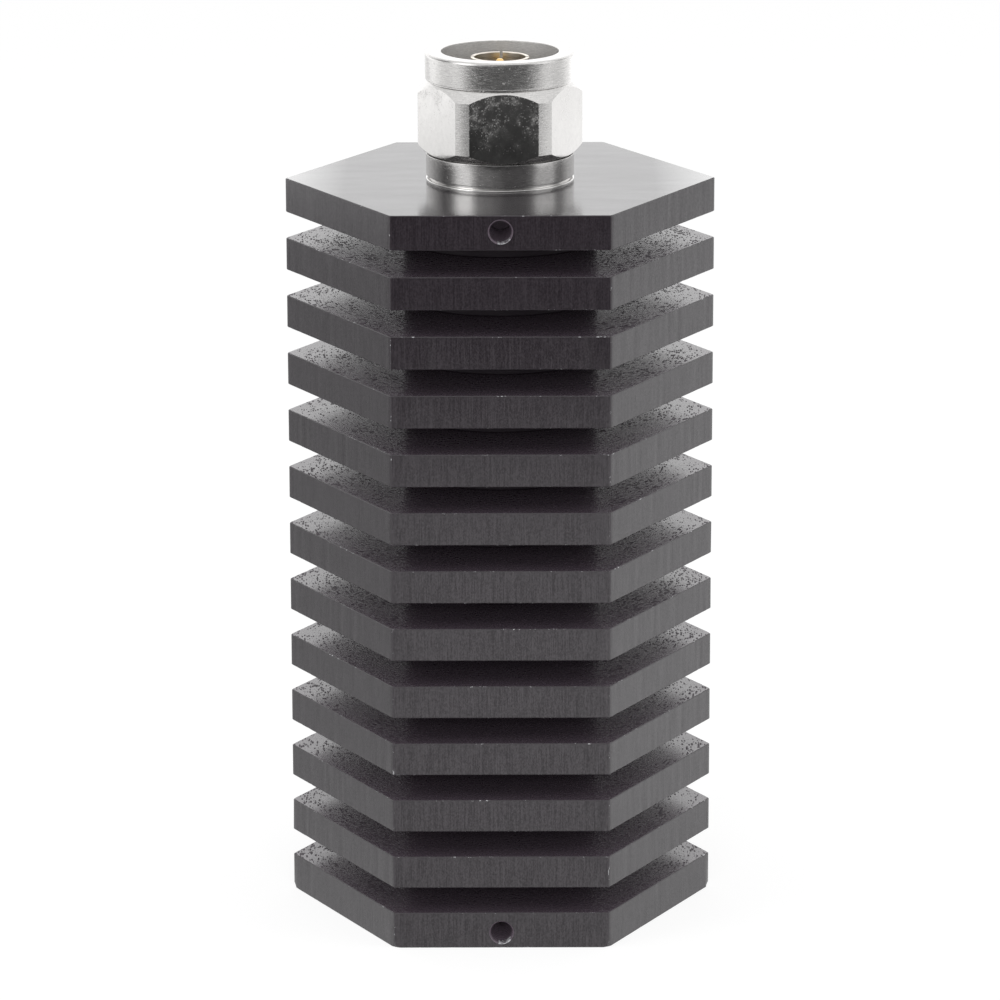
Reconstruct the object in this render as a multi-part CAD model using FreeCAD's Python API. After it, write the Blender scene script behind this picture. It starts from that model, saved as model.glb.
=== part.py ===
"""A dry coaxial dummy load: a finned hexagonal heat sink with a type N plug on its top face.

Millimetres. The origin is the centre of the heat sink's bottom face, +Z runs along the line's
axis to the plug, and the flat with the two tapped holes faces -Y.
"""
import FreeCAD, Part
import math
import os

V = FreeCAD.Vector
AXIS = V(0, 0, 1)
CENTRE = V(0, 0, 0)

# Clearances
press_clearance = 0.02
thread_clearance = 0.05
running_clearance = 0.06
ring_clearance = 0.05

# Heat sink, turned from a hexagonal bar
bar_across_flats = 50.8
bar_corner_break = 0.26
plate_count = 13
top_plate = 4.7
bottom_plate = 5.05
fin_thickness = 4.475
groove_width = 3.6
core_radius = 13.2

# Tapped holes for a bracket, in the front flat of the top and bottom plates
tap_drill_radius = 1.65
tapped_depth = 9.0
tapped_hole_inset = 2.2
tapped_mouth_break = 0.2
drill_point_angle = 118.0

# Connector body: collar on its washer, threaded spigot below, neck above
washer_thickness = 0.62
washer_overhang = 0.15
collar_inset = 0.1
collar_height = 3.0
spigot_radius = 8.95
spigot_length = 9.0
spigot_run_out = 0.5
neck_radius = 8.6
neck_height = 3.38
ring_groove_lift = 1.33
ring_groove_depth = 0.6

# Coaxial line: outer and inner conductor, and the two beads that carry the pin
line_radius = 3.5
pin_radius = 1.52
bead_radius = 4.4
bead_length = 2.4
front_bead_depth = 1.4

# Slotted outer contact, flush base in the neck
contact_outer_radius = 4.0
contact_base_radius = 4.9
contact_length = 9.75
contact_slot_count = 4
contact_slot_width = 0.4
contact_slot_length = 6.5
contact_slot_turn = -3.0

# Centre pin
pin_tip_recess = 0.3
pin_shoulder_recess = 5.3
contact_pin_radius = 0.825
contact_pin_tip_radius = 0.35
contact_pin_taper = 0.8
pin_rear_shoulder = 0.3
pin_tail_radius = 0.8
pin_tail_length = 3.8

# Coupling nut
nut_gap = 0.18
nut_across_flats = 20.4
nut_corner_cut = 0.56
nut_length = 13.75
nut_hex_length = 8.25
nut_cone_slope = 1.1
nut_undercut_depth = 0.28
nut_undercut_width = 0.28
nut_rim_break = 0.3
nut_thread_radius = 8.0
nut_thread_reach = 8.5
nut_turn = 2.9

# Split ring that keeps the nut on the neck
ring_width = 1.1
ring_thickness = 0.9
ring_gap = 3.0

# Gasket on the neck's front face
gasket_radius = 7.2
gasket_thickness = 1.3

# Resistor with its end caps
resistor_radius = 2.95
resistor_length = 53.0
cap_wall = 0.16
cap_grip = 3.0
socket_length = 4.5
socket_slot_width = 0.3
cap_cone_length = 1.6
cap_shoulder = 1.0
rear_cap_length = 6.0

# Sleeve round the resistor, bored in steps
sleeve_radius = 7.95
sleeve_wide_radius = 7.0
sleeve_narrow_radius = 3.4
sleeve_step_count = 3

# Ground collet in the sleeve's tail and the disc spring under it
collet_radius = 4.65
collet_length = 7.6
collet_slot_count = 6
collet_slot_width = 0.4
collet_slot_length = 5.0
spring_thickness = 0.7
spring_cone_height = 0.5
spring_bore_radius = 5.7
spring_outer_radius = 7.5

# Radii worked out from the nut's flats, which the barrel is turned down to
nut_barrel_radius = nut_across_flats / 2
nut_undercut_radius = nut_barrel_radius - nut_undercut_depth
nut_corner_radius = nut_across_flats / math.sqrt(3) - nut_corner_cut
collar_radius = nut_barrel_radius - collar_inset
washer_radius = collar_radius + washer_overhang

# Heights worked out from the sizes above
fin_pitch = fin_thickness + groove_width
grooves_top = bottom_plate + (plate_count - 1) * fin_pitch - fin_thickness
sink_top = grooves_top + top_plate
collar_bottom = sink_top + washer_thickness
collar_top = collar_bottom + collar_height
neck_top = collar_top + neck_height
spigot_bottom = sink_top - spigot_length
contact_base_bottom = neck_top - front_bead_depth
contact_tip = neck_top + contact_length
front_bead_low = contact_base_bottom - bead_length
rear_bead_low = spigot_bottom
nut_bottom = collar_top + nut_gap
nut_top = nut_bottom + nut_length
ring_groove_low = collar_top + ring_groove_lift
ring_low = ring_groove_low + ring_clearance
socket_top = spigot_bottom - pin_rear_shoulder
cap_cone_top = socket_top - socket_length
cap_cone_bottom = cap_cone_top - cap_cone_length
resistor_top = cap_cone_bottom - cap_shoulder
resistor_bottom = resistor_top - resistor_length
rear_cap_bottom = resistor_bottom - rear_cap_length
collet_top = rear_cap_bottom + collet_length
sleeve_bottom = rear_cap_bottom - ring_clearance
bore_floor = sleeve_bottom - spring_thickness - spring_cone_height


def turned(corners):
    """Solid of revolution about Z from its outline's (radius, height) corners."""
    outline = Part.makePolygon([V(radius, 0, height) for radius, height in corners + corners[:1]])
    return Part.Face(outline).revolve(CENTRE, AXIS, 360)


def tube(inner, outer, low, high):
    """Plain ring between two radii and two heights."""
    return turned([(inner, low), (outer, low), (outer, high), (inner, high)])


def hexagonal_prism(across_flats, low, high):
    """Hexagonal prism with two of its flats facing -Y and +Y."""
    corner = across_flats / math.sqrt(3)
    turns = [math.radians(60 * side) for side in range(7)]
    outline = Part.makePolygon([V(corner * math.cos(t), corner * math.sin(t), low) for t in turns])
    return Part.Face(outline).extrude(V(0, 0, high - low))


def upright(edge):
    """True for an edge that runs along Z."""
    ends = [vertex.Point for vertex in edge.Vertexes]
    return (ends[0] - ends[1]).cross(AXIS).Length < 1e-6


def radial_slots(count, width, reach, low, high, turn=0.0):
    """Straight cutters from the axis outwards, evenly spaced."""
    cutters = []
    for index in range(count):
        cutter = Part.makeBox(reach, width, high - low, V(0, -width / 2, low))
        cutter.rotate(CENTRE, AXIS, turn + 360.0 * index / count)
        cutters.append(cutter)
    return cutters


def hex_plate(low, high):
    """One plate of the hexagonal bar, with its corners broken."""
    plate = hexagonal_prism(bar_across_flats, low, high)
    return plate.makeChamfer(bar_corner_break, [edge for edge in plate.Edges if upright(edge)])


def plate_spans():
    """Lowest and highest height of every plate, from the bottom one up."""
    spans = [(0.0, bottom_plate)]
    for index in range(1, plate_count - 1):
        low = bottom_plate + groove_width + (index - 1) * fin_pitch
        spans.append((low, low + fin_thickness))
    spans.append((grooves_top, sink_top))
    return spans


def groove_core(low, high):
    """Round core that the parting tool leaves between two plates."""
    return Part.makeCylinder(core_radius, high - low, V(0, 0, low))


def tapped_hole(height):
    """Cutter of a blind tapped hole in the front flat, with a drill point and a broken mouth."""
    point_depth = tap_drill_radius / math.tan(math.radians(drill_point_angle / 2))
    mouth = tap_drill_radius + tapped_mouth_break
    cutter = turned([
        (0, -tapped_mouth_break), (mouth + tapped_mouth_break, -tapped_mouth_break),
        (tap_drill_radius, tapped_mouth_break), (tap_drill_radius, tapped_depth),
        (0, tapped_depth + point_depth)])
    cutter.rotate(CENTRE, V(1, 0, 0), -90)
    cutter.translate(V(0, -bar_across_flats / 2, height))
    return cutter


def heat_sink():
    spans = plate_spans()
    plates = [hex_plate(low, high) for low, high in spans]
    cores = [groove_core(below[1], above[0]) for below, above in zip(spans, spans[1:])]
    sink = plates[0].multiFuse(plates[1:] + cores).removeSplitter()
    bore = sleeve_radius + press_clearance
    thread = spigot_radius + thread_clearance
    shoulder = spigot_bottom - spigot_run_out
    cavity = turned([
        (0, bore_floor), (bore, bore_floor), (bore, shoulder), (thread, shoulder),
        (thread, sink_top + 1), (0, sink_top + 1)])
    return sink.cut([cavity, tapped_hole(tapped_hole_inset), tapped_hole(sink_top - tapped_hole_inset)])


def collar_washer():
    return tube(spigot_radius + thread_clearance, washer_radius, sink_top, collar_bottom)


def connector_body():
    groove_bottom = neck_radius - ring_groove_depth
    groove_high = ring_groove_low + ring_thickness + 2 * ring_clearance
    bead_pocket = bead_radius + press_clearance
    contact_pocket = contact_base_radius + press_clearance
    return turned([
        (bead_pocket, spigot_bottom), (spigot_radius, spigot_bottom),
        (spigot_radius, collar_bottom), (collar_radius, collar_bottom),
        (collar_radius, collar_top), (neck_radius, collar_top), (neck_radius, ring_groove_low),
        (groove_bottom, ring_groove_low), (groove_bottom, groove_high),
        (neck_radius, groove_high), (neck_radius, neck_top),
        (contact_pocket, neck_top), (contact_pocket, contact_base_bottom),
        (bead_pocket, contact_base_bottom), (bead_pocket, front_bead_low),
        (line_radius, front_bead_low), (line_radius, rear_bead_low + bead_length),
        (bead_pocket, rear_bead_low + bead_length)])


def outer_contact():
    blank = turned([
        (line_radius, contact_base_bottom), (contact_base_radius, contact_base_bottom),
        (contact_base_radius, neck_top), (contact_outer_radius, neck_top),
        (contact_outer_radius, contact_tip), (line_radius, contact_tip)])
    slots = radial_slots(contact_slot_count, contact_slot_width, contact_base_radius,
                         contact_tip - contact_slot_length, contact_tip + 1, contact_slot_turn)
    return blank.cut(slots)


def bead(low):
    """Supporting bead that is pressed over the pin into its pocket."""
    return tube(pin_radius + press_clearance, bead_radius, low, low + bead_length)


def front_insulator():
    return bead(front_bead_low)


def rear_insulator():
    return bead(rear_bead_low)


def centre_pin():
    shoulder = contact_tip - pin_shoulder_recess
    tip = contact_tip - pin_tip_recess
    return turned([
        (0, socket_top - pin_tail_length), (pin_tail_radius, socket_top - pin_tail_length),
        (pin_tail_radius, socket_top), (pin_radius, socket_top), (pin_radius, shoulder),
        (contact_pin_radius, shoulder), (contact_pin_radius, tip - contact_pin_taper),
        (contact_pin_tip_radius, tip), (0, tip)])


def nut_hexagon():
    """Lower part of the nut: hexagon with its corners turned and both of its ends coned."""
    hex_low = nut_bottom + (nut_corner_radius - collar_radius)
    hex_high = nut_bottom + nut_hex_length
    cone_top = hex_high + (nut_corner_radius - nut_undercut_radius) * nut_cone_slope
    blank = turned([
        (0, nut_bottom), (collar_radius, nut_bottom), (nut_corner_radius, hex_low),
        (nut_corner_radius, hex_high), (nut_undercut_radius, cone_top), (0, cone_top)])
    flats = hexagonal_prism(nut_across_flats, nut_bottom - 1, cone_top + 1)
    return blank.common(flats), cone_top


def coupling_nut():
    hexagon, cone_top = nut_hexagon()
    barrel_low = cone_top + nut_undercut_width
    barrel = turned([
        (0, cone_top), (nut_undercut_radius, cone_top), (nut_undercut_radius, barrel_low),
        (nut_barrel_radius, barrel_low), (nut_barrel_radius, nut_top - nut_rim_break),
        (nut_barrel_radius - nut_rim_break, nut_top), (0, nut_top)])
    neck_bore = neck_radius + running_clearance
    ring_bore = neck_radius - ring_groove_depth + ring_width + 2 * ring_clearance
    lip_top = ring_low - ring_clearance
    thread_low = nut_top - nut_thread_reach
    hollow = turned([
        (0, nut_bottom - 1), (neck_bore, nut_bottom - 1), (neck_bore, lip_top),
        (ring_bore, lip_top), (ring_bore, thread_low), (nut_thread_radius, thread_low),
        (nut_thread_radius, nut_top + 1), (0, nut_top + 1)])
    nut = hexagon.fuse(barrel).cut(hollow).removeSplitter()
    nut.rotate(CENTRE, AXIS, nut_turn)
    return nut


def nut_retaining_ring():
    inner = neck_radius - ring_groove_depth + ring_clearance
    ring = tube(inner, inner + ring_width, ring_low, ring_low + ring_thickness)
    gap = Part.makeBox(inner + ring_width, ring_gap, ring_thickness + 2,
                       V(0, -ring_gap / 2, ring_low - 1))
    return ring.cut(gap)


def mating_gasket():
    return tube(contact_outer_radius + ring_clearance, gasket_radius, neck_top,
                neck_top + gasket_thickness)


def resistor_rod():
    return Part.makeCylinder(resistor_radius, resistor_length, V(0, 0, resistor_bottom))


def resistor_front_cap():
    """Cup on the rod's front end, coned down to the slotted socket for the pin's tail."""
    cup_bore = resistor_radius + press_clearance
    cup_radius = cup_bore + cap_wall
    cup_low = resistor_top - cap_grip
    socket_bore = pin_tail_radius + press_clearance
    socket_floor = socket_top - pin_tail_length - ring_clearance
    cap = turned([
        (cup_bore, cup_low), (cup_radius, cup_low), (cup_radius, cap_cone_bottom),
        (pin_radius, cap_cone_top), (pin_radius, socket_top), (socket_bore, socket_top),
        (socket_bore, socket_floor), (0, socket_floor), (0, resistor_top),
        (cup_bore, resistor_top)])
    return cap.cut(radial_slots(4, socket_slot_width, 2 * pin_radius, cap_cone_top, socket_top + 1))


def resistor_rear_cap():
    """Cup on the rod's rear end with the solid tail that the ground collet grips."""
    cup_bore = resistor_radius + press_clearance
    cup_radius = cup_bore + cap_wall
    return turned([
        (0, rear_cap_bottom), (cup_radius, rear_cap_bottom),
        (cup_radius, resistor_bottom + cap_grip), (cup_bore, resistor_bottom + cap_grip),
        (cup_bore, resistor_bottom), (0, resistor_bottom)])


def matching_sleeve():
    """Outer conductor, bored in steps that narrow along the resistor to its grounded end."""
    pocket = collet_radius + press_clearance
    narrowing = (sleeve_wide_radius - sleeve_narrow_radius) / (sleeve_step_count - 1)
    step_length = (cap_cone_top - collet_top) / sleeve_step_count
    corners = [
        (pocket, sleeve_bottom), (sleeve_radius, sleeve_bottom), (sleeve_radius, spigot_bottom),
        (line_radius, spigot_bottom), (line_radius, cap_cone_top)]
    for index in range(sleeve_step_count):
        radius = sleeve_wide_radius - index * narrowing
        high = cap_cone_top - index * step_length
        corners += [(radius, high), (radius, high - step_length)]
    return turned(corners + [(pocket, collet_top)])


def ground_collet():
    bore = resistor_radius + cap_wall + 2 * press_clearance
    slots = radial_slots(collet_slot_count, collet_slot_width, collet_radius + 1,
                         collet_top - collet_slot_length, collet_top + 1)
    return tube(bore, collet_radius, rear_cap_bottom, collet_top).cut(slots)


def disc_spring():
    """Coned washer that presses the sleeve up against the connector's spigot."""
    return turned([
        (spring_outer_radius, bore_floor), (spring_outer_radius, bore_floor + spring_thickness),
        (spring_bore_radius, sleeve_bottom), (spring_bore_radius, sleeve_bottom - spring_thickness)])


PIECES = [
    heat_sink, collar_washer, connector_body, outer_contact, front_insulator, rear_insulator,
    centre_pin, coupling_nut, nut_retaining_ring, mating_gasket, resistor_rod,
    resistor_front_cap, resistor_rear_cap, matching_sleeve, ground_collet, disc_spring]

os.makedirs("parts", exist_ok=True)
for piece in PIECES:
    piece().exportStep("parts/" + piece.__name__ + ".step")
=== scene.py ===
"""Finishes, worn edges and studio for a dry coaxial dummy load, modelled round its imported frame."""
import math

import bmesh
import bpy
from bpy.props import FloatProperty, FloatVectorProperty, IntProperty, PointerProperty
from mathutils import Matrix, Vector, noise


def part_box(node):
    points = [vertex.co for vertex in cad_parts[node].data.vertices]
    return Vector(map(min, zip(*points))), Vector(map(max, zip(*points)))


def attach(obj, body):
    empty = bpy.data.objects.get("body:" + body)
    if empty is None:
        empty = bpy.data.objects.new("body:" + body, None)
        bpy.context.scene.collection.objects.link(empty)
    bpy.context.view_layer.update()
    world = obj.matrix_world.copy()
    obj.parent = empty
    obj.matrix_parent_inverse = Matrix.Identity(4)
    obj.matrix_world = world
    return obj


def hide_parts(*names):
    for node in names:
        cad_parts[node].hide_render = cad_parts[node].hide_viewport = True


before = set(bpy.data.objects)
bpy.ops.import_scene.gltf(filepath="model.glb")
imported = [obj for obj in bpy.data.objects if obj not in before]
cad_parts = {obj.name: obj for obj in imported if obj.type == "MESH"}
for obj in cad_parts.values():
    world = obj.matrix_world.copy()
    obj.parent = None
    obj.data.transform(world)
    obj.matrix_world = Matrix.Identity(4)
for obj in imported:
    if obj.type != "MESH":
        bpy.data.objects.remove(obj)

bl_info = {
    "name": "Coaxial dummy load",
    "version": (1, 0, 0),
    "blender": (4, 5, 0),
    "location": "3D View > Sidebar > Dummy load",
    "description": "Models and finishes a finned coaxial dummy load and sets up its studio",
    "category": "Object",
}

MM = 0.001
AXIS = Vector((0.0, 0.0, 1.0))
SINK_LOW, SINK_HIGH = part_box("heat_sink")
WASHER_LOW, WASHER_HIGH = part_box("collar_washer")
BODY_LOW, BODY_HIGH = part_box("connector_body")
NUT_LOW, NUT_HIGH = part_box("coupling_nut")
CONTACT_LOW, CONTACT_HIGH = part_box("outer_contact")
PIN_LOW, PIN_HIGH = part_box("centre_pin")
GASKET_LOW, GASKET_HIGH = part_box("mating_gasket")
REAR_BEAD_LOW, REAR_BEAD_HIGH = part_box("rear_insulator")
RING_LOW, RING_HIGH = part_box("nut_retaining_ring")
FRONT_BEAD_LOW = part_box("front_insulator")[0]
SPRING_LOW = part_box("disc_spring")[0]


def length(name, default, description):
    return FloatProperty(
        name=name, default=default * MM, description=description, subtype="DISTANCE", unit="LENGTH")


def colour(name, default, description):
    return FloatVectorProperty(
        name=name, default=default, description=description, subtype="COLOR", size=3,
        min=0.0, max=1.0)


def share(name, default, description):
    return FloatProperty(
        name=name, default=default, description=description, subtype="FACTOR", min=0.0, max=1.0)


def angle(name, degrees, description):
    return FloatProperty(
        name=name, default=math.radians(degrees), description=description, subtype="ANGLE",
        unit="ROTATION")


class HeatSinkSizes(bpy.types.PropertyGroup):
    plates: IntProperty(name="Plates", default=13, min=2, description="Number of cooling plates")
    top_plate: length("Top plate", 4.7, "Thickness of the top plate")
    bottom_plate: length("Bottom plate", 5.05, "Thickness of the bottom plate")
    groove: length("Groove", 3.6, "Width of each turned groove")
    core: length("Core", 13.2, "Radius left between two plates")
    corner: length("Corner", 0.35, "Rounding of the drawn bar's corners")
    edge: length("Edge", 0.1, "Break along each plate's edges")
    end_break: length("End break", 0.75, "Corner turned off at the bottom end")
    nick: length("Nicks", 0.05, "Depth of the nicks along the edges")
    mouth: length("Mouth", 8.99, "Radius of the bore that takes the plug's spigot")
    bore: length("Bore", 7.97, "Radius of the bore round the sleeve")
    hole: length("Hole", 1.65, "Radius of the two bracket holes")
    hole_inset: length("Hole inset", 2.2, "Height of a bracket hole's axis from the nearest end")
    hole_depth: length("Hole depth", 9.0, "Depth of the bracket holes")
    # Painted highlight: the lower side of the holes' thread is bare metal down to this depth.
    glint_depth: length("Worn depth", 1.1, "Depth to which the lower side of their thread is worn bare")
    side_cuts: IntProperty(
        name="Cuts along a flat", default=56, min=2, description="Fineness of the nicks along an edge")


class PlugSizes(bpy.types.PropertyGroup):
    spigot: length("Spigot", 8.95, "Radius of the spigot in the heat sink")
    collar: length("Collar", 10.1, "Radius of the collar")
    neck: length("Neck", 8.6, "Radius of the neck that the nut runs on")
    collar_top: length("Collar height", 3.0, "Height of the collar")
    washer: length("Washer", 10.12, "Radius of the washer's round foot")
    washer_bead: length("Washer bead", 0.2, "Height of the washer's round foot")
    washer_recess: length("Washer recess", 0.5, "Step of the washer above its foot")
    line: length("Line", 3.5, "Inner radius of the outer conductor")
    bead: length("Bead pocket", 4.42, "Radius of the pockets round the beads")
    contact: length("Contact", 4.0, "Outer radius of the slotted contact")
    contact_base: length("Contact base", 4.9, "Radius of the contact's foot")
    slot: length("Slot", 0.4, "Width of the contact's slots")
    slot_length: length("Slot length", 6.5, "Length of the contact's slots")
    slot_turn: angle("Slot turn", -3.0, "Turn of the slots about the axis")
    pin: length("Pin", 1.52, "Radius of the centre conductor")
    pin_contact: length("Pin contact", 0.825, "Radius of the pin's contact end")
    pin_tip: length("Pin tip", 0.35, "Radius of the flat on the pin's tip")


class NutSizes(bpy.types.PropertyGroup):
    across_flats: length("Across flats", 20.4, "Width of the hexagon")
    corner: length("Corner", 11.22, "Radius to which the hexagon's corners are turned")
    hexagon: length("Hexagon", 8.25, "Height of the hexagon's corners above the nut's foot")
    undercut: length("Undercut", 0.28, "Depth of the groove under the barrel")
    undercut_width: length("Undercut width", 0.2, "Width of the groove under the barrel")
    cone_slope: FloatProperty(name="Cone slope", default=1.22, description="Rise over run of the cone")
    thread: length("Thread", 7.94, "Major radius of the thread")
    thread_depth: length("Thread depth", 0.56, "Height of the thread's ridges")
    pitch: length("Pitch", 1.0583, "Pitch of the thread")
    mouth: length("Mouth", 8.0, "Radius of the plain mouth above the thread")
    mouth_depth: length("Mouth depth", 3.4, "Depth of the plain mouth")
    thread_reach: length("Thread reach", 8.5, "Depth at which the thread ends")
    rim: length("Rim", 0.32, "Rounding of the rim")
    turn: angle("Turn", 2.9, "Turn of the hexagon about the axis")


class Finishes(bpy.types.PropertyGroup):
    anodised: colour("Anodised", (0.0194, 0.0152, 0.0190), "Black anodised aluminium")
    bare: colour("Bare aluminium", (0.60, 0.60, 0.62), "Aluminium where an edge is worn")
    nickel: colour("Nickel", (0.66, 0.65, 0.64), "Bright nickel plate")
    contact: colour("Contact", (0.80, 0.75, 0.67), "Plating of the slotted contact")
    gold: colour("Gold", (0.93, 0.64, 0.25), "Gold plate of the pin")
    bead: colour("Bead", (0.86, 0.85, 0.82), "Fluoropolymer of the beads")
    gasket: colour("Gasket", (0.16, 0.06, 0.04), "Silicone rubber of the gasket")


class Studio(bpy.types.PropertyGroup):
    lens: FloatProperty(name="Lens", default=184.92, description="Focal length", subtype="DISTANCE_CAMERA")
    place: FloatVectorProperty(
        name="Camera", default=(-0.001051, -0.688544, 0.240868), description="Place of the camera",
        subtype="TRANSLATION", unit="LENGTH")
    pitch: angle("Pitch", 14.9805, "How far the camera looks down")
    yaw: angle("Yaw", 0.0804, "Turn of the camera about the vertical")
    roll: angle("Roll", -0.0968, "Roll of the camera about its own axis")
    left_glow: FloatProperty(name="Left box", default=2.7, description="Radiance of the left soft box")
    right_glow: FloatProperty(name="Right box", default=1.6, description="Radiance of the right soft box")
    top_glow: FloatProperty(name="Top box", default=1.2, description="Radiance of the overhead soft box")
    fill: FloatProperty(name="Fill", default=5.0, description="Radiance of the fill behind the camera")
    overhead_glow: FloatProperty(
        name="Overhead", default=1.05, description="Radiance that gloss shows high above the table")
    ambient: share("Ambient", 0.55, "Strength of the world on matt surfaces")
    floor_white: share("Floor", 0.82, "Own white of the floor in the camera's view")
    pool_curve: share("Pool curve", 0.15, "How far the pool's edge bends forward to the left")


# Meshes

def held(points):
    """The profile with a point just outside each rounding, which keeps the straight walls straight."""
    spots = [Vector((radius, height)) for radius, height, _ in points]
    result = []
    for index, (radius, height, rounding) in enumerate(points):
        before, here, after = spots[index - 1], spots[index], spots[(index + 1) % len(spots)]
        for other, first in ((before, True), (after, False)):
            if not first:
                result.append((radius, height, rounding))
            reach = (other - here).length
            if rounding and reach > 3.2 * rounding:
                spot = here + (other - here) * (1.5 * rounding / reach)
                result.append((spot.x, spot.y, 0))
    return result


def round_corner(bm, vert, reach):
    """Rounds one corner of an outline, from the reach before it to the reach after it."""
    bmesh.ops.bevel(
        bm, geom=[vert], affect="VERTICES", offset=reach, offset_type="OFFSET", segments=4, profile=0.5,
        material=-1)


def turned(points, steps):
    """Closed ring or solid of revolution about Z, its profile corners rounded as asked."""
    bm = bmesh.new()
    points = held(points)
    verts = [bm.verts.new((radius, 0.0, height)) for radius, height, _ in points]
    for first, second in zip(verts, verts[1:] + verts[:1]):
        if first.co.x > 0.0 or second.co.x > 0.0:
            bm.edges.new((first, second))
    for vert, (_, _, rounding) in zip(verts, points):
        if rounding:
            round_corner(bm, vert, rounding)
    bmesh.ops.spin(
        bm, geom=bm.verts[:] + bm.edges[:], cent=(0, 0, 0), axis=AXIS, dvec=(0, 0, 0),
        angle=2 * math.pi, steps=steps, use_merge=True)
    return tidy(bm)


def tidy(bm):
    """Merges doubles, removes what they leave and turns every face outwards."""
    bmesh.ops.remove_doubles(bm, verts=bm.verts[:], dist=1e-7)
    bmesh.ops.dissolve_degenerate(bm, edges=bm.edges[:], dist=1e-8)
    bmesh.ops.recalc_face_normals(bm, faces=bm.faces[:])
    return bm


def in_scene(name, bm):
    """Object of the scene with the mesh."""
    mesh = bpy.data.meshes.new(name)
    bm.to_mesh(mesh)
    bm.free()
    obj = bpy.data.objects.new(name, mesh)
    bpy.context.scene.collection.objects.link(obj)
    return obj


def piece(name, bm, materials, body, slot, *nodes, smooth_below=35.0):
    """Makes the mesh an object that rides on its body and stands for its nodes."""
    for face in bm.faces:
        face.smooth = True
    for edge in bm.edges:
        finishes = set(face.material_index for face in edge.link_faces)
        edge.smooth = (
            len(edge.link_faces) == 2 and len(finishes) == 1
            and edge.calc_face_angle() < math.radians(smooth_below))
    obj = in_scene(name, bm)
    for finish in materials:
        obj.data.materials.append(finish)
    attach(obj, body)
    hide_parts(*nodes)
    return obj


def cut_away(bm, cutters):
    """Bmesh with the cutters taken off by an exact boolean."""
    target = in_scene("blank", bm)
    helpers = [target]
    for cutter in cutters:
        helpers.append(in_scene("cutter", cutter))
        boolean = target.modifiers.new("cut", "BOOLEAN")
        boolean.operation = "DIFFERENCE"
        boolean.solver = "EXACT"
        boolean.object = helpers[-1]
    depsgraph = bpy.context.evaluated_depsgraph_get()
    result = bmesh.new()
    result.from_mesh(target.evaluated_get(depsgraph).to_mesh())
    for helper in helpers:
        mesh = helper.data
        bpy.data.objects.remove(helper)
        bpy.data.meshes.remove(mesh)
    return result


def wobble(place, size):
    """Noise between -1 and 1 at a place, with features of the given size."""
    return noise.noise(Vector(place) / size)


# Node trees

def fill(tree, made, inputs):
    """Links each socket into its input of a node, and writes each plain value there."""
    for key, value in inputs.items():
        if isinstance(value, bpy.types.NodeSocket):
            tree.links.new(value, made.inputs[key])
        else:
            made.inputs[key].default_value = value


def node(tree, kind, inputs=None, **settings):
    """Adds a node, sets its options and fills its inputs."""
    made = tree.nodes.new(kind)
    for key, value in settings.items():
        setattr(made, key, value)
    fill(tree, made, inputs or {})
    return made


def material(name):
    """Empty material with a Principled shader; returns it with its tree and shader."""
    made = bpy.data.materials.new(name)
    made.use_nodes = True
    tree = made.node_tree
    tree.nodes.clear()
    shader = node(tree, "ShaderNodeBsdfPrincipled")
    node(tree, "ShaderNodeOutputMaterial", {"Surface": shader.outputs[0]})
    return made, tree, shader


def whereabouts(tree):
    """Object coordinates, whole and apart."""
    place = node(tree, "ShaderNodeTexCoord").outputs["Object"]
    return place, node(tree, "ShaderNodeSeparateXYZ", {"Vector": place}).outputs


def stretched(tree, scale, detail=4.0, roughness=0.6):
    """Noise on Object coordinates with its own scale along each axis, in repeats per metre."""
    place = node(tree, "ShaderNodeTexCoord").outputs["Object"]
    spread = node(tree, "ShaderNodeMapping", {"Vector": place, "Scale": scale})
    return node(tree, "ShaderNodeTexNoise", {
        "Vector": spread.outputs[0], "Scale": 1.0, "Detail": detail, "Roughness": roughness}).outputs[0]


def polar(tree, along_radius, along_ring):
    """Radius, and coordinates that follow a lathe tool: radius, way round and height, in repeats."""
    _, parts = whereabouts(tree)
    level = node(tree, "ShaderNodeCombineXYZ", {"X": parts["X"], "Y": parts["Y"]})
    radius = node(tree, "ShaderNodeVectorMath", {0: level.outputs[0]}, operation="LENGTH").outputs["Value"]
    turn = maths(tree, "ARCTAN2", parts["Y"], parts["X"])
    return radius, node(tree, "ShaderNodeCombineXYZ", {
        "X": maths(tree, "MULTIPLY", radius, along_radius),
        "Y": maths(tree, "MULTIPLY", turn, along_ring * SINK_HIGH.y),
        "Z": maths(tree, "MULTIPLY", parts["Z"], along_radius)}).outputs[0]


def between(tree, value, low, high, start=0.0, end=1.0):
    """Maps a value from one range to another, clamped."""
    return node(tree, "ShaderNodeMapRange", {
        "Value": value, "From Min": low, "From Max": high, "To Min": start, "To Max": end}).outputs[0]


def maths(tree, operation, *values):
    """Result of one sum on numbers or number sockets."""
    return node(tree, "ShaderNodeMath", dict(enumerate(values)), operation=operation).outputs[0]


def blend(tree, factor, first, second):
    """Blend of two numbers or number sockets."""
    return node(tree, "ShaderNodeMix", {"Factor": factor, "A": first, "B": second},
                data_type="FLOAT").outputs[0]


def mixed(tree, factor, first, second):
    """Blend of two colours."""
    made = node(tree, "ShaderNodeMix", {"Factor": factor, 6: first, 7: second}, data_type="RGBA")
    return made.outputs[2]


def opaque(rgb, gain=1.0):
    """A colour with its alpha, made lighter or darker by a gain."""
    return (rgb[0] * gain, rgb[1] * gain, rgb[2] * gain, 1.0)


def shade(tree, factor, rgb, dark, light):
    """One colour that varies between two gains."""
    return mixed(tree, factor, opaque(rgb, dark), opaque(rgb, light))


def dots(tree, cells, limit, softness):
    """Dots in the middle of the cells of a Voronoi texture, as wide as the limit says."""
    inside = maths(tree, "SUBTRACT", limit, cells.outputs["Distance"])
    return between(tree, inside, 0.0, softness)


def cell_size(tree, cells):
    """Random number of each cell."""
    return node(tree, "ShaderNodeSeparateXYZ", {"Vector": cells.outputs["Color"]}).outputs["X"]


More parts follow.
